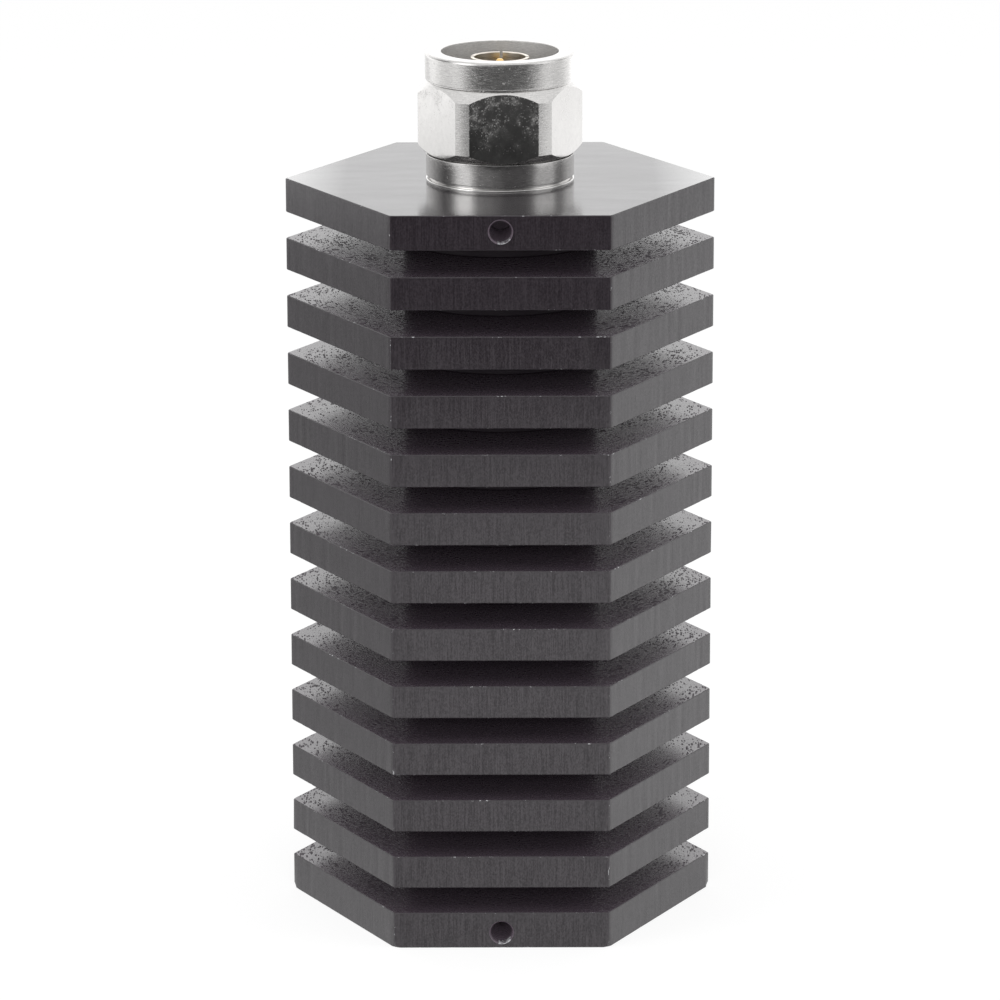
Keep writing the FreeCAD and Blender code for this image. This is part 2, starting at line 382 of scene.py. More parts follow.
def bump(tree, shader, height, strength, distance):
    """Relief on the shader's normal."""
    relief = node(tree, "ShaderNodeBump", {
        "Height": height, "Strength": strength, "Distance": distance})
    fill(tree, shader, {"Normal": relief.outputs[0]})


# Finishes

def anodised_flat(look):
    """Drawn flats of the bar: fine upright die lines and a faint grain."""
    made, tree, shader = material("anodised_drawn_flat")
    lines = stretched(tree, (7500.0, 7500.0, 260.0))
    grain = stretched(tree, (6000.0, 6000.0, 3500.0), detail=2.0)
    both = blend(tree, 0.5, lines, grain)
    fill(tree, shader, {
        "Base Color": shade(tree, between(tree, both, 0.40, 0.60), look.anodised, 0.7, 1.3),
        "Specular IOR Level": between(tree, both, 0.40, 0.60, 0.36, 0.64),
        "Roughness": between(tree, both, 0.3, 0.7, 0.12, 0.21),
        "IOR": 1.55})
    bump(tree, shader, both, 0.22, 0.01 * MM)
    return made


def anodised_turned(look):
    """Turned faces of the plates: rings at the cutter's feed, with torn dots in rows along them."""
    made, tree, shader = material("anodised_turned")
    feed = 0.4 * MM
    radius, way = polar(tree, 3200.0, 1050.0)
    cells = node(tree, "ShaderNodeTexVoronoi", {"Vector": way, "Scale": 1.0, "Randomness": 0.8})
    uneven = node(tree, "ShaderNodeTexNoise", {"Vector": way, "Scale": 2.2, "Detail": 3.0}).outputs[0]
    patches = stretched(tree, (260.0, 130.0, 500.0), detail=2.0)
    limit = maths(tree, "MULTIPLY", between(tree, patches, 0.3, 0.64, 0.28, 0.72),
                  between(tree, cell_size(tree, cells), 0.1, 0.9, 0.3, 1.0))
    pits = dots(tree, cells, limit, 0.12)
    rings = maths(tree, "SINE", maths(tree, "MULTIPLY", radius, 2 * math.pi / feed))
    sheen = maths(tree, "MULTIPLY", between(tree, rings, -1.0, 1.0, 0.92, 1.08),
                  between(tree, uneven, 0.3, 0.7, 0.36, 0.7))
    fill(tree, shader, {
        # Base colour lifted far above the anodised black: painted light that brightens the turned faces in
        # the shaded grooves.
        "Base Color": shade(tree, pits, look.anodised, 4.3, 3.4),
        "Roughness": blend(tree, pits, between(tree, uneven, 0.3, 0.7, 0.18, 0.32), 0.5),
        "Specular IOR Level": blend(tree, pits, sheen, 0.08),
        "IOR": 1.64})
    relief = maths(tree, "ADD", maths(tree, "MULTIPLY", rings, 0.12), maths(tree, "MULTIPLY", uneven, 0.25))
    bump(tree, shader, relief, 0.3, 0.03 * MM)
    return made


def anodised_core(look):
    """Turned wall of the core at the bottom of the grooves."""
    made, tree, shader = material("anodised_core")
    lines = stretched(tree, (400.0, 400.0, 5000.0), detail=2.0)
    fill(tree, shader, {
        "Base Color": shade(tree, lines, look.anodised, 0.7, 1.1),
        "Roughness": 0.5,
        "Specular IOR Level": 0.12})
    bump(tree, shader, lines, 0.2, 0.02 * MM)
    return made


def anodised_ground(look):
    """Top face: ground along X, so that it mirrors the plug in upright bands, with a painted sheen that
    pales two corners.
    """
    made, tree, shader = material("anodised_ground_top")
    lines = stretched(tree, (60.0, 4300.0, 60.0), detail=3.0)
    patches = stretched(tree, (90.0, 300.0, 90.0), detail=2.0)
    both = blend(tree, 0.4, lines, patches)
    _, parts = whereabouts(tree)
    # Painted sheen: the coat thickens toward both ends of the top face, which makes its two corners paler.
    corner_sheen = between(tree, maths(tree, "ABSOLUTE", parts["X"]), 21.0 * MM, 28.5 * MM, 0.0, 0.85)
    fill(tree, shader, {
        "Base Color": shade(tree, between(tree, lines, 0.35, 0.65), look.anodised, 0.8, 1.2),
        "Roughness": between(tree, lines, 0.3, 0.7, 0.11, 0.21),
        "Coat Weight": maths(tree, "ADD", between(tree, both, 0.38, 0.62, 0.0, 0.16), corner_sheen),
        "Coat Roughness": 0.15,
        "IOR": 1.6})
    bump(tree, shader, lines, 0.16, 0.01 * MM)
    return made


def anodised_edge(look):
    """Broken edges, worn to bare metal in specks."""
    made, tree, shader = material("anodised_worn_edge")
    specks = stretched(tree, (2300.0, 2300.0, 2300.0), detail=3.0, roughness=0.7)
    patches = between(tree, stretched(tree, (160.0, 160.0, 300.0), detail=1.0), 0.4, 0.7, 0.0, 0.12)
    worn = between(tree, maths(tree, "ADD", specks, patches), 0.69, 0.76)
    fill(tree, shader, {
        "Base Color": mixed(tree, worn, opaque(look.anodised, 1.1), opaque(look.bare)),
        "Metallic": worn,
        "Roughness": 0.38,
        "IOR": 1.6})
    bump(tree, shader, specks, 0.4, 0.04 * MM)
    return made


def anodised_tapped(look):
    """Cut threads of the bracket holes, painted greyer than the flats: painted light in the shaded holes."""
    made, tree, shader = material("anodised_tapped")
    torn = stretched(tree, (4000.0, 4000.0, 4000.0), detail=3.0)
    fill(tree, shader, {
        "Base Color": shade(tree, between(tree, torn, 0.4, 0.6), look.anodised, 4.4, 6.2),
        "Roughness": 0.34,
        "IOR": 1.55})
    bump(tree, shader, torn, 0.3, 0.02 * MM)
    return made


def bare_thread_glint(look):
    """Bare thread crests at the lower edge of the bracket holes, placed as a painted highlight where the
    thread catches the light, on threads painted lighter than the anodised black.
    """
    made, tree, shader = material("bare_thread_glint")
    torn = stretched(tree, (2600.0, 2600.0, 2600.0), detail=3.0)
    worn = between(tree, torn, 0.42, 0.52)
    fill(tree, shader, {
        "Base Color": mixed(tree, worn, opaque(look.anodised, 3.0), opaque(look.bare)),
        "Metallic": worn,
        "Roughness": 0.42})
    bump(tree, shader, torn, 0.5, 0.04 * MM)
    return made


def nickel_turned(look, name, roughness, grain_share, relief, metallic=1.0):
    """Nickel plate over turned brass: fine lines round the axis and a scratched grain."""
    made, tree, shader = material(name)
    _, way = polar(tree, 9000.0, 420.0)
    lines = node(tree, "ShaderNodeTexNoise", {
        "Vector": way, "Scale": 1.0, "Detail": 3.0, "Roughness": 0.6}).outputs[0]
    grain = stretched(tree, (5200.0, 5200.0, 6500.0), detail=3.0, roughness=0.65)
    both = blend(tree, grain_share, lines, grain)
    specks = between(tree, stretched(tree, (1900.0, 1900.0, 1900.0), roughness=0.7), 0.66, 0.70)
    rough = between(tree, both, 0.3, 0.7, roughness, roughness + 0.14)
    tangent = node(tree, "ShaderNodeTangent", direction_type="RADIAL", axis="Z")
    fill(tree, shader, {
        "Base Color": shade(tree, between(tree, both, 0.35, 0.65), look.nickel, 0.8, 1.12),
        "Metallic": metallic,
        "Roughness": maths(tree, "MULTIPLY_ADD", specks, 0.3, rough),
        "Anisotropic": 0.5,
        "Tangent": tangent.outputs[0]})
    bump(tree, shader, maths(tree, "SUBTRACT", both, specks), relief, 0.012 * MM)
    return made


def nickel_flat(look):
    """Nickel plate on the nut's flats: bright, with rough specks and a haze that gather near the top."""
    made, tree, shader = material("nickel_nut_flat")
    smudge = stretched(tree, (420.0, 420.0, 300.0), detail=3.0)
    mottle = stretched(tree, (1500.0, 1500.0, 1500.0), detail=3.0)
    gathered = stretched(tree, (330.0, 330.0, 330.0), detail=3.0, roughness=0.7)
    place, parts = whereabouts(tree)
    cells = node(tree, "ShaderNodeTexVoronoi", {"Vector": place, "Scale": 4200.0, "Randomness": 1.0})
    middle = (NUT_LOW.z + NUT_HIGH.z) / 2 - 2 * MM
    rising = between(tree, parts["Z"], middle - 4 * MM, middle + 3 * MM, 0.17, 0.46)
    worn = maths(tree, "MULTIPLY", rising, between(tree, gathered, 0.35, 0.6, 0.4, 1.6))
    haze = maths(tree, "MULTIPLY", between(tree, worn, 0.26, 0.6),
                 between(tree, mottle, 0.36, 0.64, 0.0, 0.18))
    limit = maths(tree, "MULTIPLY", worn, between(tree, cell_size(tree, cells), 0.2, 1.0, 0.2, 1.2))
    clean = maths(tree, "ADD", between(tree, smudge, 0.4, 0.66, 0.05, 0.12), haze)
    fill(tree, shader, {
        "Base Color": shade(tree, between(tree, mottle, 0.35, 0.65), look.nickel, 0.97, 1.02),
        "Metallic": 1.0,
        "Roughness": blend(tree, dots(tree, cells, limit, 0.22), clean, 0.31)})
    relief = maths(tree, "ADD", maths(tree, "MULTIPLY", smudge, 0.4), maths(tree, "MULTIPLY", mottle, 0.12))
    bump(tree, shader, relief, 0.2, 0.015 * MM)
    return made


def plain_metal(name, rgb, roughness):
    """Turned metal of one colour with fine lines."""
    made, tree, shader = material(name)
    lines = stretched(tree, (60.0, 60.0, 6000.0), detail=3.0)
    fill(tree, shader, {
        "Base Color": shade(tree, between(tree, lines, 0.35, 0.65), rgb, 0.9, 1.0),
        "Metallic": 1.0,
        "Roughness": between(tree, lines, 0.3, 0.7, roughness, roughness + 0.12)})
    bump(tree, shader, lines, 0.2, 0.01 * MM)
    return made


def matt(name, rgb, roughness, grain):
    """Matt plastic, rubber or ceramic with a fine grain."""
    made, tree, shader = material(name)
    spots = stretched(tree, (grain, grain, grain), detail=3.0)
    fill(tree, shader, {"Base Color": shade(tree, spots, rgb, 0.82, 1.05), "Roughness": roughness})
    bump(tree, shader, spots, 0.2, 0.02 * MM)
    return made


# Heat sink

FLAT, TURNED, GROUND, EDGE, TAPPED, CORE, BARE_GLINT = range(7)
# Faces of the flats within this many degrees of a corner are worn like an edge
CORNER_SPREAD = 0.25
# Length of a nick, and the level of noise above which one starts
NICK_LENGTH = 0.7 * MM
NICK_START = 0.25
# Rounding at the foot of each groove, and how far its middle stands off both walls
FILLET = 0.35 * MM
FILLET_SAG = 0.1 * MM


class DUMMY_OT_heat_sink(bpy.types.Operator):
    """Model the finned hexagonal bar with its worn edges and tapped holes"""
    bl_idname = "dummy.heat_sink"
    bl_label = "Heat sink"

    def execute(self, context):
        sizes = context.scene.dummy_heat_sink
        look = context.scene.dummy_finishes
        heights = (sizes.hole_inset, SINK_HIGH.z - sizes.hole_inset)
        bar = cut_away(hexagonal_bar(sizes), [tapped_hole(sizes, height) for height in heights])
        finishes = [anodised_flat(look), anodised_turned(look), anodised_ground(look), anodised_edge(look),
                    anodised_tapped(look), anodised_core(look), bare_thread_glint(look)]
        piece("finned_bar", bar, finishes, "load", "black_anodised", "heat_sink", smooth_below=30.0)
        return {"FINISHED"}


def hexagon_outline(sizes):
    """Bmesh with the bar's outline: six rounded corners and flats cut into short lengths."""
    bm = bmesh.new()
    bmesh.ops.create_circle(
        bm, cap_ends=False, segments=6, radius=SINK_HIGH.y / math.cos(math.pi / 6),
        matrix=Matrix.Rotation(math.pi / 6, 4, "Z"))
    reach = sizes.corner * math.tan(math.pi / 6)
    for vert in bm.verts[:]:
        round_corner(bm, vert, reach)
    flats = [edge for edge in bm.edges if edge.calc_length() > 10 * reach]
    bmesh.ops.subdivide_edges(bm, edges=flats, cuts=sizes.side_cuts)
    return bm


def hexagonal_bar(sizes):
    """The whole bar as one closed skin of rings, from its bottom centre round to the bore's floor."""
    bm = hexagon_outline(sizes)
    apothem = SINK_HIGH.y
    loop = bm.edges[:]
    plan = {vert: vert.co.copy() for vert in bm.verts}

    def ring(height, radius=None, inset=0.0, limit=None, nick=0.0, surface=FLAT):
        """Draws the open loop on to a new height, as a circle or as the bar's own outline."""
        nonlocal loop, plan
        made = bmesh.ops.extrude_edge_only(bm, edges=loop)["geom"]
        fresh = set(item for item in made if isinstance(item, bmesh.types.BMVert))
        faces = [item for item in made if isinstance(item, bmesh.types.BMFace)]
        loop = [item for item in made if isinstance(item, bmesh.types.BMEdge)
                and fresh.issuperset(item.verts)]
        plan = {vert: plan[edge.other_vert(vert)] for vert in fresh for edge in vert.link_edges
                if edge.other_vert(vert) in plan}
        for vert, outline in plan.items():
            if radius is not None:
                spot = outline.normalized() * radius
            else:
                spot = outline * (1.0 - inset / apothem)
                if nick:
                    level = wobble((outline.x, outline.y, height), NICK_LENGTH) - NICK_START
                    spot = spot * (1.0 - max(0.0, level) * nick * 3.0 / apothem)
                if limit is not None and spot.length > limit:
                    spot = spot.normalized() * limit
            vert.co = Vector((spot.x, spot.y, height))
        for face in faces:
            middle = face.calc_center_median()
            off_flat = abs(math.degrees(math.atan2(middle.y, middle.x)) % 60.0 - 30.0)
            at_corner = surface == FLAT and off_flat > 30.0 - CORNER_SPREAD
            face.material_index = EDGE if at_corner else surface

    for vert in bm.verts:
        vert.co = vert.co.normalized() * sizes.core * 0.1
        vert.co.z = 0.0
    for face in bmesh.ops.edgeloop_fill(bm, edges=loop)["faces"]:
        face.material_index = TURNED
    ring(0.0, radius=sizes.core, surface=TURNED)
    corner_reach = apothem / math.cos(math.pi / 6) - sizes.corner * (1 / math.cos(math.pi / 6) - 1)
    turned_off = corner_reach - sizes.end_break * 0.5
    for low, high in plate_spans(sizes):
        if low == 0.0:
            ring(low, inset=sizes.edge, limit=turned_off, nick=sizes.nick, surface=TURNED)
            ring(low + sizes.edge, limit=turned_off + 0.1 * MM, surface=EDGE)
            ring(low + sizes.end_break)
        else:
            ring(low - FILLET, radius=sizes.core, surface=CORE)
            ring(low - FILLET_SAG, radius=sizes.core + FILLET_SAG, surface=CORE)
            ring(low, radius=sizes.core + FILLET, surface=CORE)
            ring(low, inset=sizes.edge, nick=sizes.nick, surface=TURNED)
            ring(low + sizes.edge, nick=sizes.nick, surface=EDGE)
        ring(high - sizes.edge, nick=sizes.nick)
        ring(high, inset=sizes.edge, nick=sizes.nick, surface=EDGE)
        if high < SINK_HIGH.z:
            ring(high, radius=sizes.core + FILLET, surface=TURNED)
            ring(high + FILLET_SAG, radius=sizes.core + FILLET_SAG, surface=CORE)
            ring(high + FILLET, radius=sizes.core, surface=CORE)
    shoulder = REAR_BEAD_LOW.z - 0.5 * MM
    ring(SINK_HIGH.z, radius=sizes.mouth, surface=GROUND)
    ring(shoulder, radius=sizes.mouth, surface=TURNED)
    ring(shoulder, radius=sizes.bore, surface=TURNED)
    ring(SPRING_LOW.z, radius=sizes.bore, surface=TURNED)
    ring(SPRING_LOW.z, radius=0.5 * MM, surface=TURNED)
    for face in bmesh.ops.edgeloop_fill(bm, edges=loop)["faces"]:
        face.material_index = TURNED
    bmesh.ops.recalc_face_normals(bm, faces=bm.faces[:])
    return bm


def plate_spans(sizes):
    """Lowest and highest height of every plate, from the bottom one up."""
    inner = sizes.plates - 2
    fin = (SINK_HIGH.z - sizes.top_plate - sizes.bottom_plate - (inner + 1) * sizes.groove) / inner
    spans = [(0.0, sizes.bottom_plate)]
    for index in range(inner):
        low = sizes.bottom_plate + sizes.groove + index * (fin + sizes.groove)
        spans.append((low, low + fin))
    spans.append((SINK_HIGH.z - sizes.top_plate, SINK_HIGH.z))
    return spans


def tapped_hole(sizes, height):
    """Cutter of a tapped hole: countersunk mouth, thread ridges and a drill point."""
    pitch = 0.7 * MM
    crest, root = sizes.hole - 0.14 * MM, sizes.hole + 0.1 * MM
    outside, run_in, run_out = 1.0 * MM, 0.35 * MM, 1.0 * MM
    points = [(0.0, -outside, 0), (root + 0.9 * MM, -outside, 0), (sizes.hole + 0.03 * MM, 0.0, 0),
              (crest, 0.2 * MM, 0)]
    for index in range(int((sizes.hole_depth - run_out) / pitch)):
        low = run_in + (index + 0.15) * pitch
        points += [(crest, low, 0), (root, low + 0.4 * pitch, 0), (crest, low + 0.8 * pitch, 0)]
    points += [(crest, sizes.hole_depth, 0), (0.0, sizes.hole_depth + crest * 0.6, 0)]
    bm = turned(points, 48)
    mouth = Vector((0, SINK_LOW.y, height))
    turn = Matrix.Rotation(math.radians(-90), 4, "X")
    bmesh.ops.transform(bm, matrix=Matrix.Translation(mouth) @ turn, verts=bm.verts[:])
    bmesh.ops.recalc_face_normals(bm, faces=bm.faces[:])
    for face in bm.faces:
        spot = face.calc_center_median() - mouth
        # Bare metal on the shallow lower side only: a painted highlight where the thread catches the light.
        low_side = spot.z < -0.55 * sizes.hole and spot.x > -0.2 * sizes.hole
        shallow = 0.05 * MM < spot.y < sizes.glint_depth
        face.material_index = BARE_GLINT if low_side and shallow else TAPPED
    return bm


# Plug

# Gaps on the radius: of loose rings on their seats, round the contact's foot, and where the nut runs
LOOSE_GAP = 0.05 * MM
SEAT_GAP = 0.02 * MM
RUNNING_GAP = 0.06 * MM
# Places of the nut's finishes after its turned one
NUT_FLAT, NUT_BORE = 1, 2


class DUMMY_OT_plug_body(bpy.types.Operator):
    """Model the plug's body and the washer under its collar"""
    bl_idname = "dummy.plug_body"
    bl_label = "Plug body"

    def execute(self, context):
        sizes = context.scene.dummy_plug
        plate = nickel_turned(context.scene.dummy_finishes, "nickel_plug_turned", 0.07, 0.12, 0.1)
        piece("plug_body", plug_body(sizes), [plate], "load", "nickel_plated", "connector_body")
        piece("rounded_washer", collar_washer(sizes), [plate], "load", "nickel_plated", "collar_washer")
        return {"FINISHED"}


def plug_body(sizes):
    """Spigot, collar and neck with the ring's groove, bored for the line and its two beads."""
    collar_low, collar_high = WASHER_HIGH.z, WASHER_HIGH.z + sizes.collar_top
    groove_low, groove_high = RING_LOW.z - LOOSE_GAP, RING_HIGH.z + LOOSE_GAP
    groove_bottom = sizes.neck - 0.6 * MM
    seat, seat_floor = sizes.contact_base + SEAT_GAP, CONTACT_LOW.z
    return turned([
        (sizes.bead, BODY_LOW.z, 0), (sizes.spigot, BODY_LOW.z, 0.3 * MM),
        (sizes.spigot, collar_low, 0), (sizes.collar, collar_low, 0.08 * MM),
        (sizes.collar, collar_high, 0.04 * MM), (sizes.neck, collar_high, 0),
        (sizes.neck, groove_low, 0), (groove_bottom, groove_low, 0), (groove_bottom, groove_high, 0),
        (sizes.neck, groove_high, 0), (sizes.neck, BODY_HIGH.z, 0.25 * MM),
        (seat, BODY_HIGH.z, 0), (seat, seat_floor, 0),
        (sizes.bead, seat_floor, 0), (sizes.bead, FRONT_BEAD_LOW.z, 0), (sizes.line, FRONT_BEAD_LOW.z, 0),
        (sizes.line, REAR_BEAD_HIGH.z, 0), (sizes.bead, REAR_BEAD_HIGH.z, 0)], 160)


def collar_washer(sizes):
    """Thin washer with a round foot that stands out under its narrower rim."""
    inner, outer, rim = sizes.spigot + LOOSE_GAP, sizes.washer, sizes.washer - sizes.washer_recess
    low, foot, high = WASHER_LOW.z, WASHER_LOW.z + sizes.washer_bead, WASHER_HIGH.z
    return turned([
        (inner, low, 0), (outer, low, 0), (outer, foot, 0.6 * sizes.washer_bead),
        (rim, foot, 0), (rim, high, 0), (inner, high, 0)], 160)


class DUMMY_OT_nut(bpy.types.Operator):
    """Model the coupling nut with its hexagon, barrel and thread"""
    bl_idname = "dummy.nut"
    bl_label = "Coupling nut"

    def execute(self, context):
        look = context.scene.dummy_finishes
        nut = coupling_nut(context.scene.dummy_nut, context.scene.dummy_plug)
        finishes = [nickel_turned(look, "nickel_nut_turned", 0.16, 0.38, 0.6), nickel_flat(look),
                    nickel_turned(look, "nickel_nut_bore", 0.3, 0.3, 0.3, metallic=0.6)]
        piece("threaded_nut", nut, finishes, "nut", "nickel_plated", "coupling_nut", smooth_below=24.0)
        return {"FINISHED"}


def coupling_nut(sizes, plug):
    """Hexagon with turned corners under a plain barrel, bored with a ring pocket, a thread and a mouth."""
    foot, top = NUT_LOW.z, NUT_HIGH.z
    flat = sizes.across_flats / 2
    barrel = flat - 0.004 * MM
    undercut = flat - sizes.undercut
    hex_high = foot + sizes.hexagon
    cone_top = hex_high + (sizes.corner - undercut) * sizes.cone_slope
    barrel_low = cone_top + sizes.undercut_width
    neck = plug.neck + RUNNING_GAP
    pocket, lip = RING_HIGH.x + LOOSE_GAP, RING_LOW.z - LOOSE_GAP
    thread_low, mouth_low = top - sizes.thread_reach, top - sizes.mouth_depth
    ridge_low, ridge_high = thread_low + 0.3 * MM, mouth_low - 0.1 * MM
    rows = int((ridge_high - ridge_low) / (sizes.pitch / 8))
    profile = [
        (neck, foot, 0.1 * MM), (plug.collar, foot, 0.05 * MM),
        (sizes.corner, foot + (sizes.corner - plug.collar), 0), (sizes.corner, hex_high, 0),
        (undercut, cone_top, 0), (undercut, barrel_low, 0),
        (barrel, barrel_low, 0.08 * MM), (barrel, top, sizes.rim),
        (sizes.mouth, top, 0.1 * MM), (sizes.mouth, mouth_low + 0.3 * MM, 0), (sizes.thread, mouth_low, 0)]
    for row in range(rows + 1):
        profile.append((sizes.thread, ridge_high - (ridge_high - ridge_low) * row / rows, 0))
    profile += [(sizes.thread, thread_low, 0), (pocket, thread_low, 0), (pocket, lip, 0), (neck, lip, 0)]
    bm = turned(profile, 180)
    raise_thread(bm, sizes, ridge_low, ridge_high)
    for face in bm.faces:
        spot = face.calc_center_median()
        if spot.z > thread_low and spot.xy.length < sizes.mouth + 0.02 * MM:
            face.material_index = NUT_BORE
    mill_flats(bm, flat, cone_top, neck + 0.3 * MM)
    bmesh.ops.rotate(bm, cent=(0, 0, 0), matrix=Matrix.Rotation(sizes.turn, 3, "Z"), verts=bm.verts[:])
    bmesh.ops.recalc_face_normals(bm, faces=bm.faces[:])
    return bm


def raise_thread(bm, sizes, low, high):
    """Draws the bore's wall inwards along a helix that fades out at both ends."""
    close = 1e-6
    for vert in bm.verts:
        height = vert.co.z
        if low - close < height < high + close and abs(vert.co.xy.length - sizes.thread) < close:
            turns = height / sizes.pitch - math.atan2(vert.co.y, vert.co.x) / (2 * math.pi)
            wave = 1.0 - abs(2.0 * (turns % 1.0) - 1.0)
            fade = min(1.0, (high - height) / sizes.pitch, (height - low) / sizes.pitch)
            rise = sizes.thread_depth * min(1.0, max(0.0, wave * 1.35 - 0.15)) * max(0.0, fade)
            vert.co.xy *= (sizes.thread - rise) / sizes.thread


def mill_flats(bm, flat, top, inner):
    """Cuts six flats on the wall that lies below the top and outside the inner radius."""
    for side in range(6):
        turn = math.radians(60 * side - 90)
        normal = Vector((math.cos(turn), math.sin(turn), 0))
        wall = [face for face in bm.faces if face.calc_center_median().z < top
                and face.calc_center_median().xy.length > inner]
        geom = set(wall)
        for face in wall:
            geom.update(face.verts)
            geom.update(face.edges)
        cut = bmesh.ops.bisect_plane(
            bm, geom=list(geom), dist=1e-8, plane_co=normal * flat, plane_no=normal, clear_outer=True,
            clear_inner=False)
        rim = [item for item in cut["geom_cut"] if isinstance(item, bmesh.types.BMEdge) and item.is_boundary]
        for face in bmesh.ops.edgeloop_fill(bm, edges=rim)["faces"]:
            face.material_index = NUT_FLAT


class DUMMY_OT_contacts(bpy.types.Operator):
    """Model the slotted outer contact, the centre pin and the gasket"""
    bl_idname = "dummy.contacts"
    bl_label = "Contacts"

    def execute(self, context):
        sizes = context.scene.dummy_plug
        look = context.scene.dummy_finishes
        piece("slotted_contact", slotted_contact(sizes), [plain_metal("contact_plate", look.contact, 0.26)],
              "load", "contact_plated", "outer_contact", smooth_below=28.0)
        piece("gold_pin", centre_pin(sizes), [plain_metal("gold_plate", look.gold, 0.12)],
              "load", "gold_plated", "centre_pin")
        piece("face_gasket", face_gasket(sizes), [matt("gasket_silicone", look.gasket, 0.6, 1500.0)],
              "load", "gasket_rubber", "mating_gasket")
        return {"FINISHED"}


def slotted_contact(sizes):
    """Thin ring on a wider foot, slotted into four fingers."""
    tip, seat, face = CONTACT_HIGH.z, CONTACT_LOW.z, BODY_HIGH.z
    rim = 0.12 * MM
    ring = turned([
        (sizes.line, seat, 0), (sizes.contact_base, seat, 0), (sizes.contact_base, face, 0.1 * MM),
        (sizes.contact, face, 0), (sizes.contact, tip, rim), (sizes.line, tip, rim)], 128)
    return cut_away(ring, [slot_cutter(sizes, quarter) for quarter in range(2)])


def slot_cutter(sizes, quarter):
    """Thin box right across the contact, which makes two opposite slots."""
    bm = bmesh.new()
    tall = sizes.slot_length + 1.0 * MM
    place = Matrix.Rotation(sizes.slot_turn + quarter * math.pi / 2, 4, "Z") @ Matrix.Translation(
        (0, 0, CONTACT_HIGH.z - sizes.slot_length + tall / 2))
    size = Matrix.Diagonal((4 * sizes.contact, sizes.slot, tall, 1.0))
    bmesh.ops.create_cube(bm, size=1.0, matrix=place @ size)
    return bm


def centre_pin(sizes):
    """Conductor with a thinner contact end in front and a tail for the resistor's socket behind."""
    shoulder = CONTACT_HIGH.z - 5.3 * MM
    tail, tail_top = 0.8 * MM, REAR_BEAD_LOW.z - 0.3 * MM
    return turned([
        (0.0, PIN_LOW.z, 0), (tail, PIN_LOW.z, 0.1 * MM), (tail, tail_top, 0),
        (sizes.pin, tail_top, 0.05 * MM), (sizes.pin, shoulder, 0.2 * MM),
        (sizes.pin_contact, shoulder, 0), (sizes.pin_contact, PIN_HIGH.z - 0.8 * MM, 0.2 * MM),
        (sizes.pin_tip, PIN_HIGH.z, 0.12 * MM), (0.0, PIN_HIGH.z, 0)], 64)


def face_gasket(sizes):
    """Rubber ring round the contact's foot."""
    inner, outer = sizes.contact + LOOSE_GAP, GASKET_HIGH.x
    low, high, soft = GASKET_LOW.z, GASKET_HIGH.z, 0.35 * MM
    return turned([(inner, low, soft), (outer, low, soft), (outer, high, soft), (inner, high, soft)], 96)


class DUMMY_OT_inner_pieces(bpy.types.Operator):
    """Finish the pieces inside the bar and the plug"""
    bl_idname = "dummy.inner_pieces"
    bl_label = "Inner pieces"

    def execute(self, context):
        look = context.scene.dummy_finishes
        steel = plain_metal("spring_steel", (0.42, 0.42, 0.43), 0.28)
        bead = matt("bead_fluoropolymer", look.bead, 0.45, 900.0)
        silver = plain_metal("silver_plate", (0.85, 0.84, 0.81), 0.15)
        finishes = {
            "front_insulator": bead, "rear_insulator": bead, "nut_retaining_ring": steel,
            "disc_spring": steel, "resistor_front_cap": silver, "resistor_rear_cap": silver,
            "resistor_rod": matt("resistive_film", (0.05, 0.045, 0.04), 0.5, 2500.0),
            "matching_sleeve": plain_metal("bare_aluminium", (0.66, 0.66, 0.67), 0.25),
            "ground_collet": plain_metal("bare_bronze", (0.66, 0.42, 0.22), 0.25)}
        for name, finish in finishes.items():
            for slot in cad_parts[name].material_slots:
                slot.material = finish
        return {"FINISHED"}


# Studio

WHITE = (1.0, 1.0, 1.0)


def soft_box(name, place, target, width, height, glow):
    """Area lamp of a given radiance, seen neither by the camera nor in gloss, which the world shows."""
    lamp = bpy.data.lights.new(name, "AREA")
    lamp.shape = "RECTANGLE"
    lamp.size = width
    lamp.size_y = height
    lamp.energy = glow * math.pi * width * height
    obj = bpy.data.objects.new(name, lamp)
    obj.location = place
    obj.rotation_euler = (Vector(target) - Vector(place)).to_track_quat("-Z", "Y").to_euler()
    obj.visible_camera = False
    obj.visible_glossy = False
    bpy.context.scene.collection.objects.link(obj)
    return obj


def around(azimuth, distance, height):
    """Place at an azimuth from the camera's side, positive to the right."""
    turn = math.radians(azimuth)
    return (distance * math.sin(turn), -distance * math.cos(turn), height)


# Radiance that gloss shows low above the table, by azimuth in degrees from the camera's side,
# positive to the right
SURROUNDINGS = (
    (-180, 1.5), (-150, 1.5), (-135, 1.25), (-116, 0.7), (-97, 0.2), (-84, 0.42), (-76, 1.1),
    (-67, 2.4), (-50, 2.6), (-42, 1.3), (-34, 0.55), (-18, 0.48), (-4, 0.34), (8, 0.2), (24, 0.2),
    (40, 0.22), (50, 0.4), (62, 1.4), (88, 1.35), (98, 0.6), (110, 0.5), (120, 0.95), (130, 1.3),
    (152, 1.5), (180, 1.5))
# Radiance that gloss shows on the table, by the distance behind the object's axis, in metres
TABLE_GLOW = (
    (-0.80, 0.09), (-0.66, 0.072), (-0.60, 0.048), (-0.54, 0.022), (-0.49, 0.04), (-0.42, 0.065),
    (-0.37, 0.1), (-0.33, 0.52), (-0.29, 1.08), (-0.20, 1.22), (-0.10, 1.15), (0.0, 1.0), (0.08, 0.95),
    (0.25, 1.06), (0.30, 1.12), (0.36, 1.5), (0.44, 1.55), (0.50, 1.45), (0.56, 1.7), (0.70, 1.8))
# Share of that glow by distance to the right of the axis
TABLE_SIDES = (
    (-0.80, 1.0), (-0.55, 0.98), (-0.48, 0.96), (-0.41, 0.46), (-0.10, 0.8), (0.0, 1.0), (0.10, 1.28),
    (0.36, 1.18), (0.42, 1.08), (0.55, 0.72), (0.80, 0.9))
# Radiance that stands for white in a colour ramp
BRIGHTEST = 3.0


